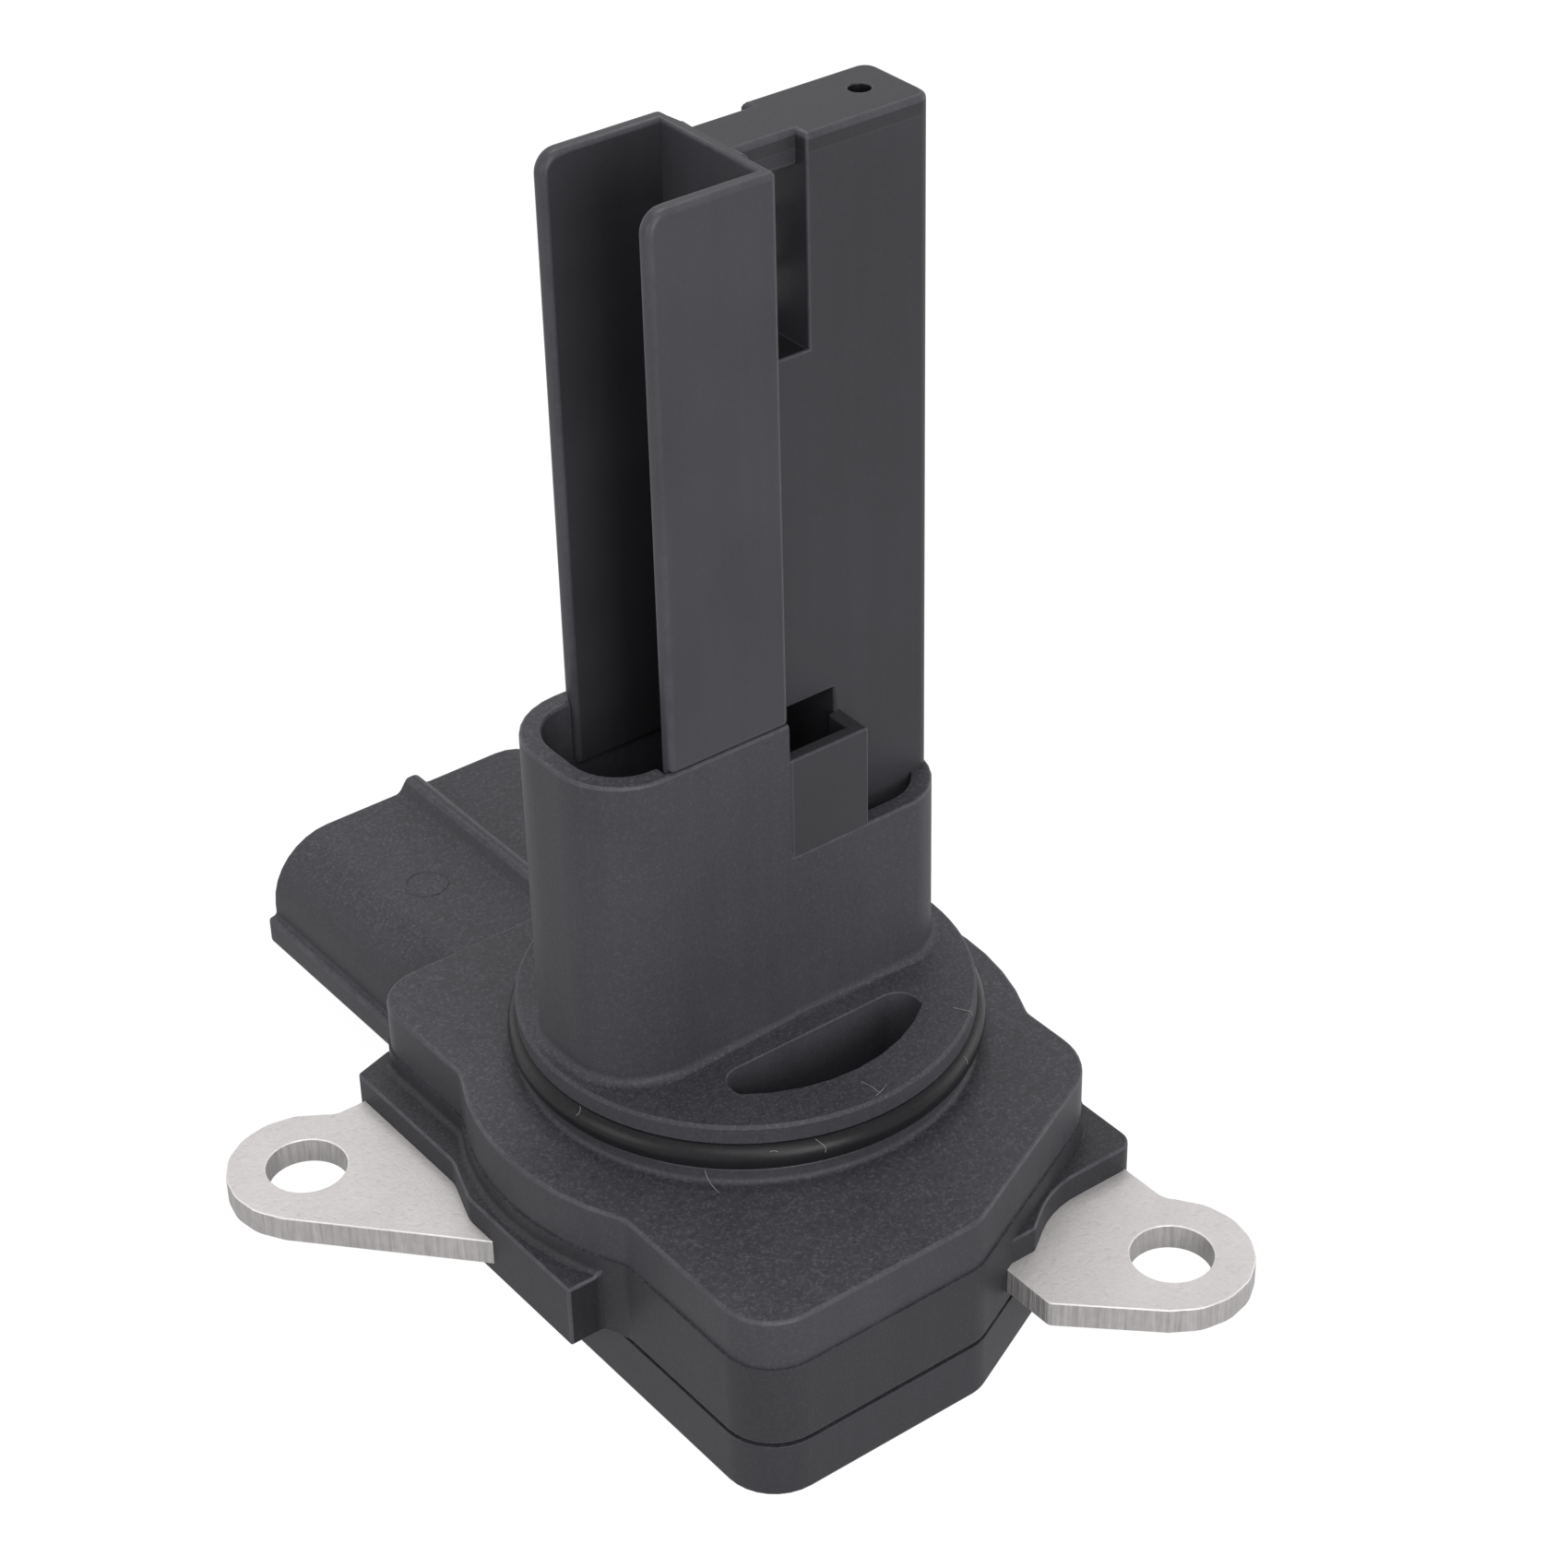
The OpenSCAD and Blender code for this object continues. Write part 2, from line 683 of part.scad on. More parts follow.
module left_tab() {
    color([0.78, 0.79, 0.8]) difference() {
        tab_solid(left_tab_path());
        screw_hole(-left_hole_x, left_hole_y);
    }
}

module right_tab() {
    color([0.78, 0.79, 0.8]) difference() {
        tab_solid(right_tab_path());
        screw_hole(right_hole_x, -right_hole_y);
    }
}

module circuit_board() {
    color([0.1, 0.32, 0.2]) difference() {
        intersection() {
            prism(base_path(-board_inset, false), board_z, board_z + board_t);
            block([-base_left, board_front_y, board_z - overrun],
                [base_right, base_rear, board_z + board_t + overrun]);
        }
        for (i = [1 : terminals])
            block([terminal_x(i) - blade_t / 2 - fit, leg_y - blade_t / 2 - fit, board_z - overrun],
                [terminal_x(i) + blade_t / 2 + fit, leg_y + blade_t / 2 + fit, board_z + board_t + overrun]);
        leads(concat(pair_places(heater_x), pair_places(flow_temperature_x)), board_z - overrun,
            board_z + board_t + overrun);
        strip_holes(fit, board_z - overrun, board_z + board_t + overrun);
    }
}

module chip_body(at, size) {
    block([at.x - size.x / 2, at.y - size.y / 2, board_z - size.z],
        [at.x + size.x / 2, at.y + size.y / 2, board_z]);
}

module control_chip() {
    color([0.08, 0.08, 0.09]) chip_body(chip_at, chip_size);
}

module board_capacitors() {
    color([0.62, 0.5, 0.36]) for (at = capacitor_at) chip_body(at, capacitor);
}

module board_resistors() {
    color([0.12, 0.12, 0.14]) for (at = resistor_at) chip_body(at, resistor);
}

module element_holder() {
    low = [holder_at.x - holder_window.x / 2, holder_at.y - holder_window.y / 2];
    high = [holder_at.x + holder_window.x / 2, holder_at.y + holder_window.y / 2];
    color([0.12, 0.12, 0.13]) difference() {
        union() {
            block([low.x + fit, low.y + fit, roof_z], [high.x - fit, high.y - fit, passage_z]);
            block([low.x - holder_flange, low.y - holder_flange, passage_z],
                [high.x + holder_flange, high.y + holder_flange, passage_z + holder_h]);
        }
        leads(concat(pair_places(heater_x), pair_places(flow_temperature_x)), roof_z - overrun,
            passage_z + holder_h + overrun);
    }
}

module element_pair(x) {
    leads(pair_places(x), board_z - lead_over, element_z + lead_over);
}

module element(x) {
    translate([x, holder_at.y + lead_gap / 2 - lead_r, element_z]) rotate([90, 0, 0])
        cylinder(r = element_r, h = lead_gap - 2 * lead_r);
}

module heater_leads() {
    color([0.75, 0.75, 0.77]) element_pair(heater_x);
}

module heated_element() {
    color([0.9, 0.88, 0.84]) element(heater_x);
}

module flow_temperature_leads() {
    color([0.75, 0.75, 0.77]) element_pair(flow_temperature_x);
}

module flow_temperature_element() {
    color([0.55, 0.3, 0.15]) element(flow_temperature_x);
}

// Each strip runs up behind the block and turns into the slot, one below the bead and one above
module intake_temperature_leads() {
    color([0.75, 0.75, 0.77]) for (i = [0, 1]) {
        p = strip_places()[i];
        turn_z = bead_z + (2 * i - 1) * (bead_h / 2 + strip.x / 2);
        block([p.x - strip.x / 2, p.y - strip.y / 2, board_z - lead_over],
            [p.x + strip.x / 2, p.y + strip.y / 2, turn_z + strip.x / 2]);
        block([bead_x - strip.x / 2, p.y - strip.y / 2, turn_z - strip.x / 2],
            [p.x + strip.x / 2, p.y + strip.y / 2, turn_z + strip.x / 2]);
    }
}

module intake_temperature_bead() {
    color([0.1, 0.1, 0.1]) translate([bead_x, strip_y, bead_z - bead_h / 2])
        cylinder(r = bead_r, h = bead_h, $fn = 24);
}

module terminal_1() { terminal(1); }
module terminal_2() { terminal(2); }
module terminal_3() { terminal(3); }
module terminal_4() { terminal(4); }
module terminal_5() { terminal(5); }

housing();
air_duct();
duct_rear_cover();
bottom_cover();
cover_seal();
spigot_seal();
left_tab();
right_tab();
circuit_board();
control_chip();
board_capacitors();
board_resistors();
element_holder();
heater_leads();
heated_element();
flow_temperature_leads();
flow_temperature_element();
intake_temperature_leads();
intake_temperature_bead();
terminal_1();
terminal_2();
terminal_3();
terminal_4();
terminal_5();
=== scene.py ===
"""Looks of the plug-in mass airflow sensor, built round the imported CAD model.

Lengths are in metres, and those that a comment or a name gives in millimetres are turned by MM.
"""

import math

import bmesh
import bpy
from mathutils import Euler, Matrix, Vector


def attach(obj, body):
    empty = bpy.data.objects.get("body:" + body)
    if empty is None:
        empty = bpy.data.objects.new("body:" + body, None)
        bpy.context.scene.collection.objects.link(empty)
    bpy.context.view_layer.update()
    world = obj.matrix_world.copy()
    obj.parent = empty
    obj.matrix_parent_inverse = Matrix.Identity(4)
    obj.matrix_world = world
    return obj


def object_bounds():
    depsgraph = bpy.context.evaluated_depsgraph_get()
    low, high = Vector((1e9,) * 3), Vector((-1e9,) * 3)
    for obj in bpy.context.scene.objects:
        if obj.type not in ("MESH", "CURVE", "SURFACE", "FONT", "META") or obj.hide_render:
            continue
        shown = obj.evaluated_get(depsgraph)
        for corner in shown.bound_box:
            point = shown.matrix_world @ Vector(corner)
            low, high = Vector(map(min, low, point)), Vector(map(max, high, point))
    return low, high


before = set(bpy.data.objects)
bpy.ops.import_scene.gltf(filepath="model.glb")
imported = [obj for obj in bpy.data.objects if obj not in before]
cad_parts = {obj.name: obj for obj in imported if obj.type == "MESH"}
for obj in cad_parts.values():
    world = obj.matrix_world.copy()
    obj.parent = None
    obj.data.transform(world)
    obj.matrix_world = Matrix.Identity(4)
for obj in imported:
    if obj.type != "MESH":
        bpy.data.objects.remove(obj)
cad_low, cad_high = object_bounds()

MM = 0.001
BODY = "root"

# Camera of the photograph: its place, the way it looks and its lens on a 36 mm sensor
CAMERA_PLACE = Vector((-103.17, -142.38, 134.36)) * MM
CAMERA_TURN = 36.77
CAMERA_DROP = 34.06
CAMERA_ROLL = -1.31
CAMERA_LENS = 83.53
SENSOR_WIDTH = 36.0

# Colours, as linear values
CHARCOAL = (0.034, 0.034, 0.039)
# The cover's own black, made darker still as painted shade for this low part
COVER_BLACK = (0.025, 0.025, 0.029)
SEAL_BLACK = (0.010, 0.010, 0.011)
TAB_GREY = (0.420, 0.404, 0.400)
# Lighter grey of the tabs' rounded edges: partly burnish, partly painted highlight
TAB_BRIGHT = (0.56, 0.54, 0.535)
LINT_GREY = (0.19, 0.185, 0.18)

# Noise scales of the moulded and the rolled surfaces, in features per millimetre
COARSE_GRAIN, FINE_GRAIN, MOULD_CLOUDS, WEAR_AND_HIGHLIGHT = 2.9, 5.6, 0.09, 0.8
MOTTLE, SHEET_CLOUDS, DENTS = 3.2, 0.25, 1.9

# Edges that turn more than SHARP_TURN are rounded, and those that turn less than SHADE_TURN when
# all is rounded are shaded smooth. Faces that meet within FLAT_TURN become one.
SHARP_TURN = math.radians(50)
SHADE_TURN = math.radians(33)
FLAT_TURN = math.radians(0.5)

# In millimetres: the rounding that a weight of 1 gives, how near points of the CAD mesh and of the
# rounded tabs are joined, and how far a rounding rule reaches above and below its level
WIDEST = 1.0
MESH_WELD = 0.002
TAB_WELD = 0.02
LEVEL_REACH = 0.03
ROUNDING_STEPS = 3

# The floor's half width in millimetres, its grey, and the glow that makes it white to the rays
# that show the background; then the world's light on the part. White is a strength of 1.
FLOOR_HALF = 3000
FLOOR_GREY = 0.42
FLOOR_GLOW, FLOOR_GLOW_SHARE = 1.2, 0.8
WORLD_LIGHT = 0.28

# Each lamp's name, place and width in millimetres, and power in watts, and the point that they face
LAMP_AIM = (0, 0, 15)
LAMPS = (
    ("key lamp", (-260, -420, 520), 420, 2.2),
    ("back lamp", (110, 240, 640), 420, 2.6),
    ("side lamp", (-620, 60, 230), 360, 1.4),
    ("front lamp", (-60, -300, 110), 160, 0.7),
    ("right lamp", (480, -140, 110), 300, 0.7),
    ("rear lamp", (-200, 480, 110), 300, 0.3),
)


def link(tree, source, target):
    """Joins two sockets of a node tree."""
    tree.links.new(source, target)


def add(tree, kind, x=0, y=0, **values):
    """Adds a shader node, with its plain settings."""
    node = tree.nodes.new(kind)
    node.location = (x, y)
    for name, value in values.items():
        setattr(node, name, value)
    return node


def noise(tree, vector, scale, detail=2.0, rough=0.5):
    """A noise texture read at a vector socket."""
    node = add(tree, "ShaderNodeTexNoise")
    node.inputs["Scale"].default_value = scale
    node.inputs["Detail"].default_value = detail
    node.inputs["Roughness"].default_value = rough
    link(tree, vector, node.inputs["Vector"])
    return node.outputs["Fac"]


def maths(tree, operation, a, b=None, c=None, clamp=False):
    """A math node whose inputs are sockets or numbers."""
    node = add(tree, "ShaderNodeMath", operation=operation, use_clamp=clamp)
    for i, value in enumerate((a, b, c)):
        if value is None:
            continue
        if isinstance(value, (int, float)):
            node.inputs[i].default_value = value
        else:
            link(tree, value, node.inputs[i])
    return node.outputs[0]


def spread(tree, value, low, high, to_low=0.0, to_high=1.0):
    """Maps a value's range onto another, smoothly and with its ends held."""
    node = add(tree, "ShaderNodeMapRange", interpolation_type="SMOOTHSTEP")
    ends = {"From Min": low, "From Max": high, "To Min": to_low, "To Max": to_high}
    for name, number in ends.items():
        node.inputs[name].default_value = number
    link(tree, value, node.inputs["Value"])
    return node.outputs["Result"]


def new_group(name, inputs, outputs):
    """A shader node group with named sockets: (name, socket type, default value)."""
    group = bpy.data.node_groups.new(name, "ShaderNodeTree")
    for label, kind, value in inputs:
        socket = group.interface.new_socket(label, in_out="INPUT", socket_type=kind)
        if value is not None:
            socket.default_value = value
    for label, kind in outputs:
        group.interface.new_socket(label, in_out="OUTPUT", socket_type=kind)
    return group, add(group, "NodeGroupInput", -900, 0), add(group, "NodeGroupOutput", 900, 0)


def place(tree):
    """Position on the part, in millimetres."""
    coordinates = add(tree, "ShaderNodeTexCoord")
    scaled = add(tree, "ShaderNodeVectorMath", operation="SCALE")
    scaled.inputs["Scale"].default_value = 1 / MM
    link(tree, coordinates.outputs["Object"], scaled.inputs[0])
    return scaled.outputs[0]


def stretch(tree, vector, sizes):
    """A vector with each part multiplied by its own number."""
    node = add(tree, "ShaderNodeVectorMath", operation="MULTIPLY")
    link(tree, vector, node.inputs[0])
    node.inputs[1].default_value = sizes
    return node.outputs[0]


def box_mask(tree, at, low, high):
    """One where a place is in a box, else zero."""
    centre = [(a + b) / 2 for a, b in zip(low, high)]
    half = [(b - a) / 2 for a, b in zip(low, high)]
    shifted = add(tree, "ShaderNodeVectorMath", operation="SUBTRACT")
    link(tree, at, shifted.inputs[0])
    shifted.inputs[1].default_value = centre
    away = add(tree, "ShaderNodeVectorMath", operation="ABSOLUTE")
    link(tree, shifted.outputs[0], away.inputs[0])
    over = add(tree, "ShaderNodeVectorMath", operation="SUBTRACT")
    link(tree, away.outputs[0], over.inputs[0])
    over.inputs[1].default_value = half
    parts = add(tree, "ShaderNodeSeparateXYZ")
    link(tree, over.outputs[0], parts.inputs[0])
    most = maths(tree, "MAXIMUM", parts.outputs[0], parts.outputs[1])
    most = maths(tree, "MAXIMUM", most, parts.outputs[2])
    return maths(tree, "LESS_THAN", most, 0.0)


SURFACE_OUTPUTS = (("Colour", "NodeSocketColor"), ("Roughness", "NodeSocketFloat"),
                   ("Height", "NodeSocketFloat"))


def moulded_surface():
    """Grain, cloudy tone, pits, painted glints, and wear with painted highlight of a moulded face,
    most on its top.
    """
    group, given, out = new_group(
        "moulded surface",
        (("Colour", "NodeSocketColor", None), ("Grain", "NodeSocketFloat", 1.0),
         ("Gloss", "NodeSocketFloat", 0.5), ("Wear", "NodeSocketFloat", 0.0)),
        SURFACE_OUTPUTS,
    )
    at = place(group)
    geometry = add(group, "ShaderNodeNewGeometry")
    parts = add(group, "ShaderNodeSeparateXYZ")
    link(group, geometry.outputs["True Normal"], parts.inputs[0])
    # Faces that look up carry the full grain, and the others a third of it
    top = spread(group, parts.outputs["Z"], 0.5, 0.9, 0.35, 1.0)
    amount = maths(group, "MULTIPLY", given.outputs["Grain"], top)
    coarse = noise(group, at, COARSE_GRAIN, 2.0)
    fine = noise(group, at, FINE_GRAIN, 1.0)
    cloud = noise(group, at, MOULD_CLOUDS, 3.0)
    grain = maths(group, "MULTIPLY_ADD", coarse, 0.6, maths(group, "MULTIPLY", fine, 0.4))
    height = maths(group, "MULTIPLY", grain, amount)
    flow = noise(group, stretch(group, at, (0.9, 0.9, 0.05)), 1.0, 2.0)
    # Colour's share: clouds and flow lines, grain pits, painted glints, then wear with painted
    # highlight
    shade = maths(group, "MULTIPLY_ADD", spread(group, cloud, 0.35, 0.65), 0.16, 0.90)
    shade = maths(group, "MULTIPLY_ADD", spread(group, flow, 0.3, 0.7), 0.06, shade)
    pits = maths(group, "MULTIPLY", maths(group, "SUBTRACT", coarse, 0.5), amount)
    shade = maths(group, "MULTIPLY_ADD", pits, 0.9, shade)
    # Painted glints: light specks on the grain's peaks, strongest on faces that look up
    painted_glints = maths(group, "MULTIPLY", spread(group, fine, 0.50, 0.72), amount)
    shade = maths(group, "MULTIPLY_ADD", painted_glints, 0.70, shade)
    # Rubbed wear and painted highlight: lighter patches on the edges that take an edge finish
    rub_and_highlight = spread(group, noise(group, at, WEAR_AND_HIGHLIGHT, 5.0, 0.75), 0.35, 0.65, 0.3, 1.0)
    wear_and_highlight = maths(group, "MULTIPLY", rub_and_highlight, given.outputs["Wear"])
    shade = maths(group, "ADD", wear_and_highlight, shade)
    tint = add(group, "ShaderNodeVectorMath", operation="SCALE")
    link(group, given.outputs["Colour"], tint.inputs[0])
    link(group, shade, tint.inputs["Scale"])
    link(group, tint.outputs[0], out.inputs["Colour"])
    dull = spread(group, cloud, 0.3, 0.7)
    rough = maths(group, "MULTIPLY_ADD", dull, 0.08, given.outputs["Gloss"])
    uneven = maths(group, "SUBTRACT", coarse, 0.5)
    rough = maths(group, "MULTIPLY_ADD", uneven, 0.10, rough, clamp=True)
    link(group, rough, out.inputs["Roughness"])
    link(group, height, out.inputs["Height"])
    return group


def rolled_surface():
    """Dull rolled faces with fine scratches, and upright shear marks on the cut edges."""
    group, given, out = new_group(
        "rolled surface",
        (("Colour", "NodeSocketColor", None), ("Gloss", "NodeSocketFloat", 0.4)),
        SURFACE_OUTPUTS,
    )
    at = place(group)
    geometry = add(group, "ShaderNodeNewGeometry")
    parts = add(group, "ShaderNodeSeparateXYZ")
    link(group, geometry.outputs["True Normal"], parts.inputs[0])
    # 1 on the cut edges, which stand upright, and 0 on the sheet's faces
    upright = spread(group, maths(group, "ABSOLUTE", parts.outputs["Z"]), 0.4, 0.8, 1.0, 0.0)
    shear = noise(group, stretch(group, at, (4.5, 4.5, 0.25)), 1.0, 3.0, 0.6)
    tear = noise(group, stretch(group, at, (2.2, 2.2, 1.6)), 1.0, 2.0)
    scratch = noise(group, stretch(group, at, (0.35, 9.0, 0.35)), 1.0, 3.0, 0.6)
    mottle = noise(group, at, MOTTLE, 4.0, 0.7)
    cloud = noise(group, at, SHEET_CLOUDS, 2.0)
    dents = spread(group, noise(group, at, DENTS, 2.0), 0.60, 0.68)
    face = maths(group, "MULTIPLY_ADD", mottle, 0.75, maths(group, "MULTIPLY", scratch, 0.25))
    face = maths(group, "MULTIPLY_ADD", dents, -0.18, face)
    edge = maths(group, "MULTIPLY_ADD", shear, 0.75, maths(group, "MULTIPLY", tear, 0.25))
    mixed = add(group, "ShaderNodeMix", data_type="FLOAT")
    link(group, upright, mixed.inputs[0])
    link(group, face, mixed.inputs[2])
    link(group, edge, mixed.inputs[3])
    marks = mixed.outputs[0]
    depth = maths(group, "MULTIPLY_ADD", upright, 2.2, 0.9)
    link(group, maths(group, "MULTIPLY", marks, depth), out.inputs["Height"])
    # The cut edges are darker than the faces, and their marks stronger
    contrast = maths(group, "MULTIPLY_ADD", upright, 0.50, 0.34)
    shade = maths(group, "MULTIPLY_ADD", maths(group, "SUBTRACT", marks, 0.5), contrast,
                  maths(group, "MULTIPLY_ADD", upright, -0.26, 1.0))
    shade = maths(group, "MULTIPLY_ADD", maths(group, "SUBTRACT", cloud, 0.5), 0.18, shade)
    tint = add(group, "ShaderNodeVectorMath", operation="SCALE")
    link(group, given.outputs["Colour"], tint.inputs[0])
    link(group, shade, tint.inputs["Scale"])
    link(group, tint.outputs[0], out.inputs["Colour"])
    rough = maths(group, "MULTIPLY_ADD", marks, 0.22, given.outputs["Gloss"])
    link(group, rough, out.inputs["Roughness"])
    return group


MOULDED = moulded_surface()
ROLLED = rolled_surface()


# Painted shade for parts that are darker than the lamps here make them, such as those that little
# light reaches: boxes in millimetres and how much of the colour is left
HOUSING_PAINTED_SHADE = (
    ((-31, -31, -12.1), (31, 18.7, -6.36), 0.68),
    ((-19.4, -7.9, -12.1), (-15.7, -7.6, -7.75), 0.55),
)
DUCT_PAINTED_SHADE = (
    ((-9, -3.8, -5), (-0.5, 4.7, 56.0), 0.75),
    ((-3, -3.7, -5), (-0.5, 4.6, 55.8), 0.72),
    ((0.15, -1.9, 40.0), (3.95, 3.4, 53.9), 0.30),
    ((9.0, 0.0, 50.0), (11.2, 2.0, 55.8), 0.20),
    ((0.1, -6.0, 12.0), (13.0, 6.0, 54.8), 0.78),
    ((0.1, -7.0, 54.85), (14.0, 7.0, 57.0), 0.66),
)


def material(name, group, colour, bump, metallic=0.0, specular=0.18, painted_shade=(), **values):
    """A Principled material fed by a surface group, with painted shade: its colour darker in listed
    boxes.
    """
    made = bpy.data.materials.new(name)
    made.use_nodes = True
    tree = made.node_tree
    shader = tree.nodes["Principled BSDF"]
    surface = add(tree, "ShaderNodeGroup", -400, 0)
    surface.node_tree = group
    surface.inputs["Colour"].default_value = (*colour, 1.0)
    for label, value in values.items():
        surface.inputs[label].default_value = value
    colour_out = surface.outputs["Colour"]
    for low, high, dark in painted_shade:
        tint = add(tree, "ShaderNodeVectorMath", operation="SCALE")
        link(tree, colour_out, tint.inputs[0])
        mask = box_mask(tree, place(tree), low, high)
        link(tree, maths(tree, "MULTIPLY_ADD", mask, dark - 1, 1.0), tint.inputs["Scale"])
        colour_out = tint.outputs[0]
    link(tree, colour_out, shader.inputs["Base Color"])
    link(tree, surface.outputs["Roughness"], shader.inputs["Roughness"])
    relief = add(tree, "ShaderNodeBump", -200, -300)
    relief.inputs["Strength"].default_value = 1.0
    relief.inputs["Distance"].default_value = bump
    link(tree, surface.outputs["Height"], relief.inputs["Height"])
    link(tree, relief.outputs["Normal"], shader.inputs["Normal"])
    shader.inputs["Metallic"].default_value = metallic
    shader.inputs["Specular IOR Level"].default_value = specular
    return made


# The housing's and the duct's colours carry painted shade in their boxes
housing_plastic = material("housing plastic", MOULDED, CHARCOAL, 0.045 * MM,
                           painted_shade=HOUSING_PAINTED_SHADE, Grain=1.0, Gloss=0.52)
duct_plastic = material("duct plastic", MOULDED, CHARCOAL, 0.012 * MM,
                        painted_shade=DUCT_PAINTED_SHADE, Grain=0.35, Gloss=0.44)
cover_plastic = material("cover plastic", MOULDED, COVER_BLACK, 0.024 * MM,
                         Grain=0.8, Gloss=0.50)
seal_rubber = material("seal rubber", MOULDED, SEAL_BLACK, 0.012 * MM,
                       specular=0.13, Grain=0.5, Gloss=0.30)
sealant = material("sealant", MOULDED, (0.16, 0.16, 0.17), 0.010 * MM, Grain=0.3, Gloss=0.45)
board_mask = material("board mask", MOULDED, (0.02, 0.13, 0.06), 0.006 * MM,
                      Grain=0.2, Gloss=0.25)
chip_plastic = material("chip plastic", MOULDED, (0.025, 0.025, 0.028), 0.012 * MM,
                        Grain=0.7, Gloss=0.5)
tan_ceramic = material("tan ceramic", MOULDED, (0.42, 0.31, 0.19), 0.010 * MM,
                       Grain=0.5, Gloss=0.5)
dark_ceramic = material("dark ceramic", MOULDED, (0.045, 0.045, 0.05), 0.010 * MM,
                        Grain=0.5, Gloss=0.4)
holder_plastic = material("holder plastic", MOULDED, (0.03, 0.03, 0.034), 0.012 * MM,
                          Grain=0.5, Gloss=0.45)
white_ceramic = material("white ceramic", MOULDED, (0.76, 0.74, 0.69), 0.008 * MM,
                         Grain=0.4, Gloss=0.4)
brown_glaze = material("brown glaze", MOULDED, (0.30, 0.12, 0.045), 0.005 * MM,
                       Grain=0.2, Gloss=0.2)
bead_coat = material("bead coat", MOULDED, (0.02, 0.02, 0.022), 0.006 * MM,
                     Grain=0.3, Gloss=0.3)
tab_metal = material("tab metal", ROLLED, TAB_GREY, 0.035 * MM, metallic=0.35, Gloss=0.38)
# The tabs' rounded edges are lighter than their faces: partly burnish, partly painted highlight
tab_edge = material("tab edge", ROLLED, TAB_BRIGHT, 0.020 * MM, metallic=0.35, Gloss=0.30)
# Finishes of the rounded edges, lighter than the faces: partly rubbed wear, partly painted
# highlight
housing_edge = material("housing edge", MOULDED, CHARCOAL, 0.020 * MM,
                        Grain=0.6, Gloss=0.36, Wear=0.55)
duct_edge = material("duct edge", MOULDED, CHARCOAL, 0.010 * MM,
                     Grain=0.3, Gloss=0.34, Wear=0.30)
cover_edge = material("cover edge", MOULDED, COVER_BLACK, 0.016 * MM,
                      Grain=0.6, Gloss=0.40, Wear=0.4)
lint_fibre = material("lint fibre", MOULDED, LINT_GREY, 0.004 * MM, Grain=0.5, Gloss=0.75)
lead_metal = material("lead metal", ROLLED, (0.60, 0.60, 0.61), 0.006 * MM,
                      metallic=0.9, Gloss=0.22)
terminal_metal = material("terminal metal", ROLLED, (0.63, 0.61, 0.56), 0.006 * MM,
                          metallic=0.9, Gloss=0.25)

# A coordinate past every piece, in millimetres, and the ways that an edge can turn
ALL = 999
CONVEX, CONCAVE, EITHER = 1, -1, 0


def level(z, radius, turn=EITHER, x=(-ALL, ALL), y=(-ALL, ALL)):
    """Rounding rule for edges at one height: a box in millimetres, their turn and their radius."""
    return (x[0], y[0], z - LEVEL_REACH), (x[1], y[1], z + LEVEL_REACH), turn, radius


def zone(low, high, radius, turn=EITHER):
    """Rounding rule for the edges in a box."""
    return low, high, turn, radius


# Heights of the housing's steps, in millimetres
RIM_TOP, GROOVE_TOP, GROOVE_FOOT, PLATFORM = 1.25, 0.0, -1.95, -2.95
PARTING, LUG, TAB_TOP, TAB_FOOT, SPLIT = -6.35, -7.7, -9.45, -11.2, -11.95
COLLAR_LOW, COLLAR_HIGH = 12.75, 22.05

# Rounding of each node's edges, in millimetres: the usual radius, then rules, of which the last
# that fits counts. A radius of 0 keeps an edge sharp where two pieces meet flush, or where edges of
# different roundings come too near each other for the mesh to stay whole.
HOUSING_ROUNDING = (0.18, (
    level(PLATFORM, 0.22, CONVEX),
    level(PLATFORM, 0.35, CONCAVE),
    level(RIM_TOP, 0.09, CONVEX),
    level(RIM_TOP, 0.55, CONCAVE),
    level(GROOVE_TOP, 0.08),
    level(GROOVE_FOOT, 0.15),
    level(PARTING, 0.0),
    level(LUG, 0.42, CONCAVE, x=(-ALL, 0)),
    level(LUG, 0.16, CONCAVE, x=(0, ALL)),
    level(LUG, 0.16, CONVEX),
    level(SPLIT, 0.08),
    level(COLLAR_LOW, 0.16),
    level(COLLAR_HIGH, 0.20),
    zone((-30, 18.7, -20), (30, 40, 0), 0.28),
    zone((-8.4, -4.4, 17), (0.3, 5.4, 22.0), 0.0),
    zone((0.05, -4.4, 8), (6.2, 1.0, 12.7), 0.0),
    zone((0.05, -4.9, 1.2), (0.15, -4.2, 22.1), 0.0),
    level(TAB_TOP, 0.0),
    level(TAB_FOOT, 0.0),
    zone((-8, 18, -11.3), (8, 19, -4.6), 0.0),
    zone((-13, -20, -5.3), (13, 18.6, -3.1), 0.0, CONVEX),
    zone((-13, -20, -2.75), (13, 18.6, -2.4), 0.0, CONVEX),
    zone((-9.7, 16.7, -12), (9.7, 23.8, -9.2), 0.0),
    zone((-9.7, 23.6, -15), (9.7, 23.8, -5.5), 0.0),
    level(LUG, 0.0, x=(-17.8, -14.2), y=(16.8, 18.1)),
    zone((-13, -19, -20), (13, 18.5, -5.3), 0.0, CONCAVE),
))
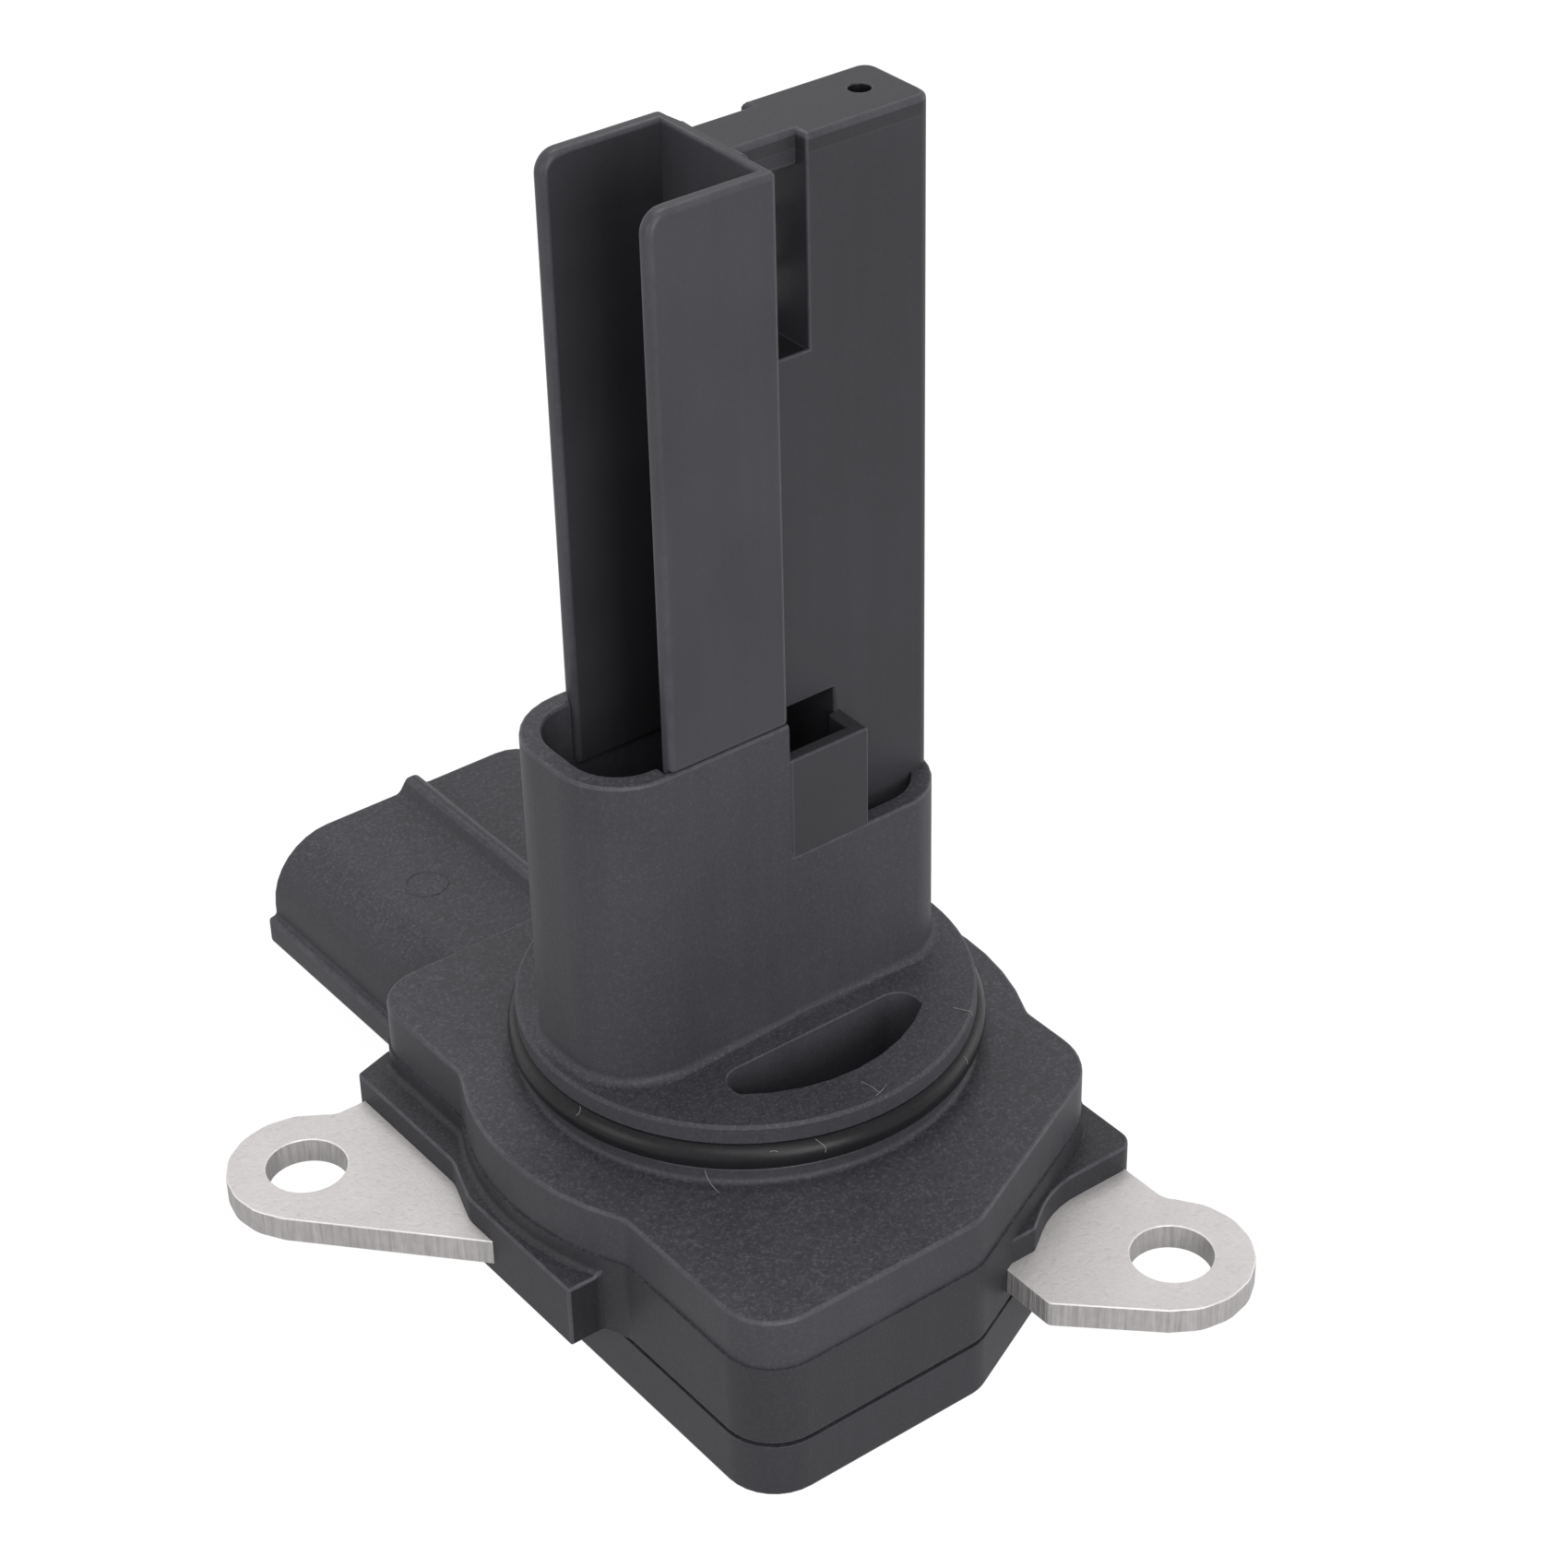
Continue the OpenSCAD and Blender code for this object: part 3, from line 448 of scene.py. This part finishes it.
DUCT_ROUNDING = (0.34, (
    zone((-0.65, -3.8, 50), (0.15, 4.7, 56), 0.20),
    zone((0.05, -2.2, 40), (4.2, -1.9, 53.9), 0.16),
    zone((8, -0.5, 54.6), (12, 2.5, 56), 0.10),
    zone((0.1, -4.9, 12.7), (6.4, -1.9, 21.5), 0.14),
    zone((-9, -4.3, 17.9), (0.2, 5.2, 22.0), 0.0),
    zone((-0.4, -3.6, 7.8), (0.08, 5.1, 18.2), 0.0),
    zone((-0.1, 3.4, -5), (5, 3.8, 56), 0.0),
    zone((-1, -4.8, -5), (14, 5.2, 12.72), 0.0),
    level(COLLAR_LOW, 0.06),
    zone((6.0, 0.3, -5), (12, 3.7, 55), 0.0),
))
PLATE_ROUNDING = (0.10, ())
COVER_ROUNDING = (0.30, (
    zone((-20, -30, -12.4), (20, 30, -8), 0.05),
    zone((-15.3, -21.6, -15), (14.3, 17.9, -8), 0.05),
))
TAB_ROUNDING = (0.08, ())
SMALL_ROUNDING = (0.08, ())


def geometry_tree(name):
    """Geometry node tree with one geometry socket each way."""
    tree = bpy.data.node_groups.new(name, "GeometryNodeTree")
    tree.interface.new_socket("Geometry", in_out="INPUT", socket_type="NodeSocketGeometry")
    tree.interface.new_socket("Geometry", in_out="OUTPUT", socket_type="NodeSocketGeometry")
    return tree, add(tree, "NodeGroupInput"), add(tree, "NodeGroupOutput")


def edge_place(tree):
    """Position of an edge, in millimetres."""
    scaled = add(tree, "ShaderNodeVectorMath", operation="SCALE")
    scaled.inputs["Scale"].default_value = 1 / MM
    link(tree, add(tree, "GeometryNodeInputPosition").outputs[0], scaled.inputs[0])
    return scaled.outputs[0]


def write_rounding(tree, given, out, share):
    """Writes to the edges the share of the widest rounding that each of them gets."""
    store = add(tree, "GeometryNodeStoreNamedAttribute", data_type="FLOAT", domain="EDGE")
    store.inputs["Name"].default_value = "bevel_weight_edge"
    link(tree, share, store.inputs["Value"])
    link(tree, given.outputs[0], store.inputs["Geometry"])
    link(tree, store.outputs[0], out.inputs[0])


def rounding_tree(name, way, usual, rules):
    """Gives each edge that turns sharply one way its rounding, by its place."""
    tree, given, out = geometry_tree(name)
    at = edge_place(tree)
    signed = add(tree, "GeometryNodeInputMeshEdgeAngle").outputs[1]
    radius = usual
    for low, high, turn, size in rules:
        mask = box_mask(tree, at, low, high)
        if turn:
            right_way = maths(tree, "GREATER_THAN", maths(tree, "MULTIPLY", signed, turn), 0.0)
            mask = maths(tree, "MULTIPLY", mask, right_way)
        change = maths(tree, "SUBTRACT", size, radius)
        radius = maths(tree, "MULTIPLY_ADD", mask, change, radius)
    sharp = maths(tree, "GREATER_THAN", maths(tree, "MULTIPLY", signed, way), SHARP_TURN)
    share = maths(tree, "MULTIPLY", sharp, maths(tree, "DIVIDE", radius, WIDEST))
    write_rounding(tree, given, out, share)
    return tree


def outline_tree(name, low, high, least, most, radius):
    """Rounds the edges in a box that turn between two angles, to make a coarse outline finer."""
    tree, given, out = geometry_tree(name)
    turned = add(tree, "GeometryNodeInputMeshEdgeAngle").outputs[0]
    inside = maths(tree, "MULTIPLY", maths(tree, "GREATER_THAN", turned, math.radians(least)),
                   maths(tree, "LESS_THAN", turned, math.radians(most)))
    inside = maths(tree, "MULTIPLY", inside, box_mask(tree, edge_place(tree), low, high))
    write_rounding(tree, given, out, maths(tree, "MULTIPLY", inside, radius / WIDEST))
    return tree


def shading_tree():
    """Keeps the edges that still turn sharply crisp, and shades the rest smooth."""
    tree, given, out = geometry_tree("crisp and smooth edges")
    faces = add(tree, "GeometryNodeSetShadeSmooth", domain="FACE")
    link(tree, given.outputs[0], faces.inputs["Geometry"])
    edges = add(tree, "GeometryNodeSetShadeSmooth", domain="EDGE")
    link(tree, faces.outputs[0], edges.inputs["Geometry"])
    angle = add(tree, "GeometryNodeInputMeshEdgeAngle")
    link(tree, maths(tree, "LESS_THAN", angle.outputs[0], SHADE_TURN), edges.inputs["Shade Smooth"])
    link(tree, edges.outputs[0], out.inputs[0])
    return tree


SHADING = shading_tree()


def both_ways(name, rounding):
    """The rounding of a node's hollow edges, then that of its outer edges."""
    return (rounding_tree(f"{name} hollows", CONCAVE, *rounding),
            rounding_tree(f"{name} edges", CONVEX, *rounding))


HOUSING_EDGES = both_ways("housing", HOUSING_ROUNDING)
DUCT_EDGES = (rounding_tree("duct edges", CONVEX, *DUCT_ROUNDING),)
PLATE_EDGES = both_ways("plate", PLATE_ROUNDING)
COVER_EDGES = both_ways("cover", COVER_ROUNDING)
TAB_EDGES = both_ways("tab", TAB_ROUNDING)

# The tabs' round outlines come as short chords: rounding their corners makes them finer
CHORD_TURNS = (15, 45)
CHORD_ROUNDING = 0.45
LEFT_TAB_EDGES = (
    outline_tree("left tab outline", (-30, 8, -12), (-18, 20, -9), *CHORD_TURNS, CHORD_ROUNDING),
    *TAB_EDGES,
)
RIGHT_TAB_EDGES = (
    outline_tree("right tab outline", (6.5, -32, -12), (18, -18, -9), *CHORD_TURNS, CHORD_ROUNDING),
    *TAB_EDGES,
)
SMALL_EDGES = both_ways("small piece", SMALL_ROUNDING)

# Each CAD node's finish, the finish of its rounded edges and the rounding of them
FINISHES = {
    "housing": (housing_plastic, housing_edge, HOUSING_EDGES),
    "air_duct": (duct_plastic, duct_edge, DUCT_EDGES),
    "duct_rear_cover": (duct_plastic, duct_edge, PLATE_EDGES),
    "bottom_cover": (cover_plastic, cover_edge, COVER_EDGES),
    "cover_seal": (sealant, None, None),
    "spigot_seal": (seal_rubber, None, None),
    "left_tab": (tab_metal, tab_edge, LEFT_TAB_EDGES),
    "right_tab": (tab_metal, tab_edge, RIGHT_TAB_EDGES),
    "circuit_board": (board_mask, None, None),
    "control_chip": (chip_plastic, None, SMALL_EDGES),
    "board_capacitors": (tan_ceramic, None, SMALL_EDGES),
    "board_resistors": (dark_ceramic, None, None),
    "element_holder": (holder_plastic, None, SMALL_EDGES),
    "heater_leads": (lead_metal, None, None),
    "heated_element": (white_ceramic, None, None),
    "flow_temperature_leads": (lead_metal, None, None),
    "flow_temperature_element": (brown_glaze, None, None),
    "intake_temperature_leads": (lead_metal, None, None),
    "intake_temperature_bead": (bead_coat, None, None),
}
for number in range(1, 6):
    FINISHES[f"terminal_{number}"] = (terminal_metal, None, SMALL_EDGES)


# Nodes whose rounded corners leave points so near each other that a face would show a crease
WELDED_AFTER = ("left_tab", "right_tab")


def dress(node, face_finish, edge_finish, edges):
    """Gives a CAD node its finishes and, where edges isn't None, its rounded edges."""
    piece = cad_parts[node]
    piece.data.materials.clear()
    piece.data.materials.append(face_finish)
    weld = piece.modifiers.new("weld", "WELD")
    weld.merge_threshold = MESH_WELD * MM
    flat = piece.modifiers.new("flat faces", "DECIMATE")
    flat.decimate_type = "DISSOLVE"
    flat.angle_limit = FLAT_TURN
    for radii in edges or ():
        piece.modifiers.new(radii.name, "NODES").node_group = radii
        bevel = piece.modifiers.new(f"{radii.name} rounded", "BEVEL")
        bevel.width = WIDEST * MM
        bevel.segments = ROUNDING_STEPS
        bevel.limit_method = "WEIGHT"
        bevel.use_clamp_overlap = False
        if edge_finish and radii == edges[-1]:
            piece.data.materials.append(edge_finish)
            bevel.material = 1
    if node in WELDED_AFTER:
        piece.modifiers.new("tip weld", "WELD").merge_threshold = TAB_WELD * MM
    piece.modifiers.new("crisp and smooth edges", "NODES").node_group = SHADING
    if edges:
        piece.modifiers.new("flat shading of faces", "WEIGHTED_NORMAL").keep_sharp = True


for node, (face_finish, edge_finish, edges) in FINISHES.items():
    dress(node, face_finish, edge_finish, edges)


# The ejector pin's ring on the shroud: its centre, radius and half thickness, in millimetres, and
# the mesh's steps round the ring and round its section
EJECTOR_CENTRE, EJECTOR_RADIUS, EJECTOR_TUBE = (-5.4, 28.0, -4.80), 1.40, 0.11
EJECTOR_STEPS = (64, 10)


def ejector_mark(centre, radius, tube, steps):
    """The raised ring that a mould's ejector pin leaves, sunk into the face that it lies on."""
    made = bmesh.new()
    rows = []
    around, across = steps
    for i in range(around):
        turn = 2 * math.pi * i / around
        row = []
        for j in range(across):
            lean = 2 * math.pi * j / across
            reach = radius + tube * math.cos(lean)
            spot = (reach * math.cos(turn), reach * math.sin(turn), tube * math.sin(lean))
            row.append(made.verts.new((Vector(centre) + Vector(spot)) * MM))
        rows.append(row)
    for i in range(around):
        near, far = rows[i], rows[(i + 1) % around]
        for j in range(across):
            after = (j + 1) % across
            made.faces.new((near[j], far[j], far[after], near[after])).smooth = True
    mesh = bpy.data.meshes.new("ejector_mark")
    made.to_mesh(mesh)
    made.free()
    mark = bpy.data.objects.new("ejector_mark", mesh)
    bpy.context.scene.collection.objects.link(mark)
    mesh.materials.append(housing_plastic)
    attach(mark, BODY)


# The ring seal: radius of its middle line, height of it and radius of its section, in millimetres
SEAL_REACH, SEAL_Z, SEAL_TUBE = 13.6, -0.975, 0.95

# Radius of a dust thread, and the height of one that lies on the rim, in millimetres
LINT_R = 0.018
LINT_TOP = RIM_TOP + LINT_R


def on_seal(turn, lean):
    """A place on the seal's skin, by degrees round the spigot and degrees round its section."""
    turn, lean = math.radians(turn), math.radians(lean)
    reach = SEAL_REACH + (SEAL_TUBE + LINT_R) * math.cos(lean)
    rise = (SEAL_TUBE + LINT_R) * math.sin(lean)
    return reach * math.cos(turn), reach * math.sin(turn), SEAL_Z + rise


LINT_THREADS = (
    ((8.0, -10.0, LINT_TOP), (8.3, -10.6, LINT_TOP + 0.05), (8.62, -11.0, LINT_TOP),
     (8.4, -11.3, LINT_TOP - 0.03)),
    ((-0.65, -12.1, LINT_TOP), (-0.5, -12.8, LINT_TOP + 0.06), (-0.5, -13.5, LINT_TOP + 0.03),
     (-0.3, -14.0, 1.1)),
    ((0.3, -13.2, LINT_TOP), (-0.2, -13.5, LINT_TOP + 0.06), (-0.8, -13.6, LINT_TOP)),
    (on_seal(-110.5, 62), on_seal(-109.6, 44), on_seal(-108.4, 26), on_seal(-108.8, 8)),
    (on_seal(-171, 66), on_seal(-169.5, 48), on_seal(-170.6, 30)),
    (on_seal(-121.6, 40), on_seal(-120.6, 46), on_seal(-119.8, 38)),
    (on_seal(-62, 50), on_seal(-61.2, 36), on_seal(-62.2, 20)),
    ((-10.3, -9.6, PLATFORM + 1.0), (-10.5, -10.1, PLATFORM + 0.5),
     (-10.2, -10.8, PLATFORM + LINT_R)),
)


def lint():
    """A few dust threads that cling to the rim, the seal and the platform."""
    data = bpy.data.curves.new("lint", "CURVE")
    data.dimensions = "3D"
    data.bevel_depth = LINT_R * MM
    data.bevel_resolution = 1
    data.resolution_u = 6
    data.use_fill_caps = True
    for points in LINT_THREADS:
        thread = data.splines.new("NURBS")
        thread.points.add(len(points) - 1)
        for point, spot in zip(thread.points, points):
            point.co = (*(Vector(spot) * MM), 1.0)
        thread.order_u = 3
        thread.use_endpoint_u = True
    dust = bpy.data.objects.new("lint", data)
    bpy.context.scene.collection.objects.link(dust)
    data.materials.append(lint_fibre)
    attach(dust, BODY)


ejector_mark(EJECTOR_CENTRE, EJECTOR_RADIUS, EJECTOR_TUBE, EJECTOR_STEPS)
lint()


def build_camera():
    """The camera at the photograph's angle."""
    data = bpy.data.cameras.new("camera")
    data.lens = CAMERA_LENS
    data.sensor_width = SENSOR_WIDTH
    data.sensor_fit = "HORIZONTAL"
    data.clip_start = 0.01
    camera = bpy.data.objects.new("camera", data)
    bpy.context.scene.collection.objects.link(camera)
    turn = Euler((0, 0, -math.radians(CAMERA_TURN))).to_matrix()
    tilt = Euler((math.radians(90 - CAMERA_DROP), 0, 0)).to_matrix()
    roll = Euler((0, 0, math.radians(CAMERA_ROLL))).to_matrix()
    camera.matrix_world = (turn @ tilt @ roll).to_4x4()
    camera.location = CAMERA_PLACE
    bpy.context.scene.camera = camera


def area_lamp(name, place_mm, size_mm, watts):
    """A square soft lamp that faces the lamps' aim."""
    data = bpy.data.lights.new(name, "AREA")
    data.size = size_mm * MM
    data.energy = watts
    lamp = bpy.data.objects.new(name, data)
    bpy.context.scene.collection.objects.link(lamp)
    lamp.location = Vector(place_mm) * MM
    facing = Vector(LAMP_AIM) - Vector(place_mm)
    lamp.rotation_euler = facing.to_track_quat("-Z", "Y").to_euler()


def background_seen(tree):
    """1 for the rays that show the white background: camera, glossy and transmission rays."""
    rays = add(tree, "ShaderNodeLightPath", -600, 0).outputs
    mirrored = maths(tree, "MAXIMUM", rays["Is Glossy Ray"], rays["Is Transmission Ray"])
    return maths(tree, "MAXIMUM", rays["Is Camera Ray"], mirrored)


def build_stage():
    """Pale floor, even world light and soft lamps."""
    floor_mesh = bpy.data.meshes.new("floor")
    half = FLOOR_HALF * MM
    corners = ((-half, -half), (half, -half), (half, half), (-half, half))
    floor_mesh.from_pydata([(x, y, cad_low.z) for x, y in corners], [], [(0, 1, 2, 3)])
    floor = bpy.data.objects.new("floor", floor_mesh)
    bpy.context.scene.collection.objects.link(floor)
    paint = bpy.data.materials.new("pale floor")
    paint.use_nodes = True
    tree = paint.node_tree
    tree.nodes.clear()
    output = add(tree, "ShaderNodeOutputMaterial", 600, 0)
    mix = add(tree, "ShaderNodeMixShader", 400, 0)
    matt = add(tree, "ShaderNodeBsdfDiffuse", 0, 100)
    matt.inputs["Color"].default_value = (FLOOR_GREY, FLOOR_GREY, FLOOR_GREY, 1)
    glow = add(tree, "ShaderNodeEmission", 0, -100)
    glow.inputs["Strength"].default_value = FLOOR_GLOW
    link(tree, maths(tree, "MULTIPLY", background_seen(tree), FLOOR_GLOW_SHARE), mix.inputs[0])
    link(tree, matt.outputs[0], mix.inputs[1])
    link(tree, glow.outputs[0], mix.inputs[2])
    link(tree, mix.outputs[0], output.inputs["Surface"])
    floor_mesh.materials.append(paint)

    world = bpy.data.worlds.new("studio")
    world.use_nodes = True
    bpy.context.scene.world = world
    tree = world.node_tree
    shown = tree.nodes["Background"]
    shown.inputs["Color"].default_value = (1, 1, 1, 1)
    strength = maths(tree, "MULTIPLY_ADD", background_seen(tree), 1 - WORLD_LIGHT, WORLD_LIGHT)
    link(tree, strength, shown.inputs["Strength"])

    for name, place_mm, size_mm, watts in LAMPS:
        area_lamp(name, place_mm, size_mm, watts)


build_camera()
build_stage()

bpy.context.scene.view_settings.view_transform = "Standard"
